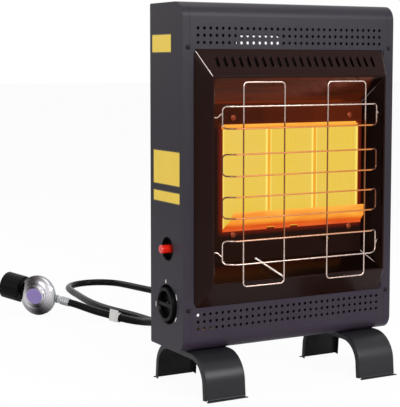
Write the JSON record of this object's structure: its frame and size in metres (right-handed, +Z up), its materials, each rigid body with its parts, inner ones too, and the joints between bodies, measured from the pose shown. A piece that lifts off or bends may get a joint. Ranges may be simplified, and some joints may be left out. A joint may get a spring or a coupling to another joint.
{
  "type": "patio heater",
  "caption": "Free-standing cabinet gas patio heater with ceramic plaque burner, wire guard, side control knob, igniter button, and a hose with regulator.",
  "frame": {"origin": "on the floor, at the bottom centre of the heater's box without its hose", "axes": "+Z up, the burner faces -Y, the control knob is on the -X side"},
  "size_m": [0.4598, 1.097, 0.664],
  "materials": {
    "charcoal_paint": "satin powder coat",
    "bezel_enamel": "dark brown gloss enamel",
    "black_paint": "satin black paint",
    "dark_steel": "heat-tinted steel",
    "glowing_steel": "steel glowing orange",
    "glowing_ceramic": "porous ceramic glowing yellow",
    "chrome_wire": "bright chrome",
    "zinc_plate": "zinc plate",
    "brass": "plain brass",
    "black_plastic": "satin moulded",
    "red_plastic": "gloss moulded",
    "black_rubber": "satin rubber",
    "white_film": "plain white film",
    "fibre": "pressed ceramic fibre"
  },
  "bodies": {
    "heater": {"left_side_panel": "charcoal_paint", "right_side_panel": "charcoal_paint", "back_panel": "charcoal_paint", "top_grille_panel": "charcoal_paint", "bottom_grille_panel": "charcoal_paint", "front_bezel": "bezel_enamel", "left_foot": "black_paint", "right_foot": "black_paint", "case_screw_1": "black_paint", "case_screw_2": "black_paint", "case_screw_3": "black_paint", "case_screw_4": "black_paint", "reflector": "dark_steel", "burner_front_plate": "dark_steel", "burner_housing": "dark_steel", "left_burner_bracket": "dark_steel", "right_burner_bracket": "dark_steel", "burner_screw_1": "dark_steel", "burner_screw_2": "dark_steel", "burner_screw_3": "dark_steel", "burner_screw_4": "dark_steel", "upper_flame_lip": "glowing_steel", "lower_flame_rail": "glowing_steel", "ceramic_plaque_1": "glowing_ceramic", "ceramic_plaque_2": "glowing_ceramic", "ceramic_plaque_3": "glowing_ceramic", "wire_guard": "chrome_wire", "spark_electrode": "chrome_wire", "regulator_cover": "chrome_wire", "heat_shield": "zinc_plate", "venturi_tube": "zinc_plate", "regulator_body": "zinc_plate", "hose_fitting": "zinc_plate", "hose_ferrule": "zinc_plate", "foot_bolt_1": "zinc_plate", "foot_bolt_2": "zinc_plate", "foot_bolt_3": "zinc_plate", "foot_bolt_4": "zinc_plate", "gas_valve_body": "brass", "gas_injector": "brass", "burner_pipe": "brass", "inlet_pipe": "brass", "inlet_connector": "brass", "thermocouple_probe": "brass", "thermocouple_lead": "brass", "inlet_nozzle": "brass", "knob_well": "black_plastic", "igniter_cup": "black_plastic", "piezo_igniter": "black_plastic", "gas_hose": "black_rubber", "hose_strain_relief": "black_rubber", "ignition_lead": "black_rubber", "hose_tag": "white_film", "plaque_gasket": "fibre"},
    "valve_plug": {"valve_plug": "brass"},
    "knob_and_stem": {"control_knob": "black_plastic", "valve_stem": "zinc_plate"},
    "igniter_button": {"igniter_button": "red_plastic"},
    "hand_nut": {"hand_nut": "black_plastic"}
  },
  "joints": [
    {"name": "knob_turn", "type": "hinge", "parent": "heater", "child": "valve_plug", "pos_m": [-0.169, 0.006, 0.1505], "axis": [1, 0, 0], "range_deg": [0, 215]},
    {"name": "knob_push", "type": "slide", "parent": "valve_plug", "child": "knob_and_stem", "axis": [1, 0, 0], "range_m": [0, 0.004], "stiffness_N_per_m": 900},
    {"name": "igniter_push", "type": "slide", "parent": "heater", "child": "igniter_button", "axis": [1, 0, 0], "range_m": [0, 0.008], "stiffness_N_per_m": 900},
    {"name": "hand_nut_spin", "type": "hinge", "parent": "heater", "child": "hand_nut", "pos_m": [-0.19903, 0.77748, 0.05635], "axis": [0.5737, -0.8023, -0.165], "continuous": true}
  ]
}
